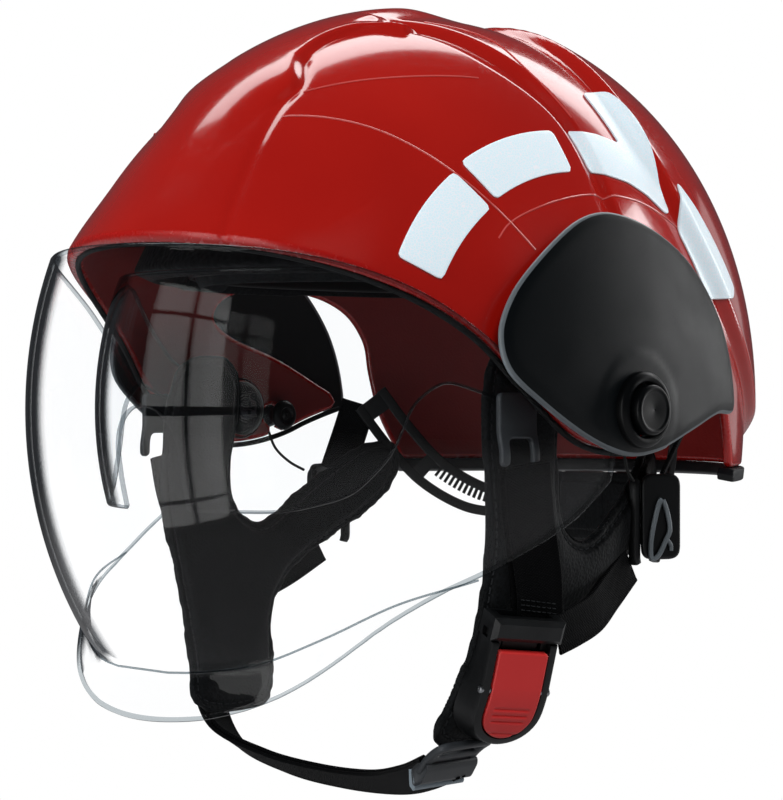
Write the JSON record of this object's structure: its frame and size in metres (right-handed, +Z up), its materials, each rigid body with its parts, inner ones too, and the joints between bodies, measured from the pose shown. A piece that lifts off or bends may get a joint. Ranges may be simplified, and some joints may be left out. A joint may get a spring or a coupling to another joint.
{
  "type": "firefighter helmet",
  "caption": "Jet-style rescue helmet with a swinging clear face shield, a retracting inner eye shield, side pivot covers, reflective strips, padded cheek harness and press-release chin buckle.",
  "frame": {"origin": "middle of the axis that both shields swing about, level with the ears", "axes": "+Z up, the wearer faces -Y, +X is the wearer's left"},
  "size_m": [0.2536, 0.3232, 0.3037],
  "materials": {
    "shell_red": "glossy painted",
    "trim_black": "satin",
    "edge_rubber": "matte rubber",
    "reflective": "retroreflective film",
    "cover_black": "fine-grained satin",
    "knob_black": "satin",
    "bracket_grey": "satin",
    "screw_steel": "satin",
    "clear_shield": "clear, hard-coated",
    "clear_lens": "clear, hard-coated",
    "liner_foam": "matte foam",
    "band_plastic": "satin",
    "pad_fabric": "soft knit",
    "pad_leather": "grained synthetic leather",
    "webbing": "woven webbing",
    "buckle_black": "satin",
    "buckle_red": "satin"
  },
  "bodies": {
    "helmet": {"outer_shell": "shell_red", "rear_rim_trim": "trim_black", "shell_edge_trim": "edge_rubber", "left_reflector_brow": "reflective", "right_reflector_brow": "reflective", "left_reflector_temple": "reflective", "right_reflector_temple": "reflective", "left_reflector_chevron": "reflective", "right_reflector_chevron": "reflective", "left_reflector_rear": "reflective", "right_reflector_rear": "reflective", "left_side_cover": "cover_black", "right_side_cover": "cover_black", "left_pivot_collar": "knob_black", "right_pivot_collar": "knob_black", "left_pivot_hub": "bracket_grey", "right_pivot_hub": "bracket_grey", "left_pivot_cone": "bracket_grey", "right_pivot_cone": "bracket_grey", "left_pivot_screw": "screw_steel", "right_pivot_screw": "screw_steel", "left_strap_stud": "knob_black", "right_strap_stud": "knob_black", "impact_liner": "liner_foam", "headband": "band_plastic", "brow_pad": "pad_fabric", "crown_pad": "pad_fabric", "left_band_arm": "band_plastic", "right_band_arm": "band_plastic", "nape_housing": "band_plastic", "nape_pad": "pad_leather", "left_cheek_pad": "pad_leather", "right_cheek_pad": "pad_leather", "left_front_strap": "webbing", "right_front_strap": "webbing", "left_rear_strap_upper": "webbing", "right_rear_strap_upper": "webbing", "left_rear_strap": "webbing", "right_rear_strap": "webbing", "chin_strap": "webbing", "left_strap_hook": "bracket_grey", "right_strap_hook": "bracket_grey", "left_rear_adjuster": "buckle_black", "right_rear_adjuster": "buckle_black", "buckle_tongue": "buckle_black"},
    "face_shield": {"face_shield": "clear_shield"},
    "eye_shield": {"eye_shield": "clear_lens"},
    "left_button": {"left_release_button": "knob_black"},
    "right_button": {"right_release_button": "knob_black"},
    "left_rack_body": {"left_rack": "band_plastic"},
    "right_rack_body": {"right_rack": "band_plastic"},
    "ratchet": {"ratchet_wheel": "knob_black"},
    "buckle": {"buckle_body": "buckle_black", "chin_strap_adjuster": "bracket_grey", "buckle_pin": "screw_steel"},
    "press_button": {"buckle_button": "buckle_red"}
  },
  "joints": [
    {"name": "face_shield_swing", "type": "hinge", "parent": "helmet", "child": "face_shield", "pos_m": [0, 0, 0], "axis": [-1, 0, 0], "range_deg": [0, 62]},
    {"name": "eye_shield_swing", "type": "hinge", "parent": "helmet", "child": "eye_shield", "pos_m": [0, 0, 0], "axis": [-1, 0, 0], "range_deg": [0, 46]},
    {"name": "left_button_press", "type": "slide", "parent": "helmet", "child": "left_button", "axis": [-1, 0, 0], "range_m": [0, 0.0018], "stiffness_N_per_m": 1500},
    {"name": "right_button_press", "type": "slide", "parent": "helmet", "child": "right_button", "axis": [1, 0, 0], "range_m": [0, 0.0018], "stiffness_N_per_m": 1500},
    {"name": "ratchet_turn", "type": "hinge", "parent": "helmet", "child": "ratchet", "pos_m": [0, 0.12, -0.042], "axis": [0, 1, 0], "range_deg": [-61, 61]},
    {"name": "left_rack_slide", "type": "slide", "parent": "helmet", "child": "left_rack_body", "axis": [-1, 0, 0], "range_m": [-0.0071, 0.0071]},
    {"name": "right_rack_slide", "type": "slide", "parent": "helmet", "child": "right_rack_body", "axis": [1, 0, 0], "range_m": [-0.0073, 0.0073]},
    {"name": "buckle_release", "type": "slide", "parent": "helmet", "child": "buckle", "axis": [-0.309, 0.0012, -0.9511], "range_m": [0, 0.019]},
    {"name": "buckle_button_press", "type": "hinge", "parent": "buckle", "child": "press_button", "pos_m": [0.09162, -0.03501, -0.09853], "axis": [0.3114, 0.945, -0.1], "range_deg": [0, 6], "stiffness_Nm_per_rad": 0.4}
  ],
  "couplings": [
    {"joint": "ratchet_turn", "follows": "left_rack_slide", "rad_per_m": -147.06},
    {"joint": "right_rack_slide", "follows": "left_rack_slide", "ratio": 1}
  ]
}
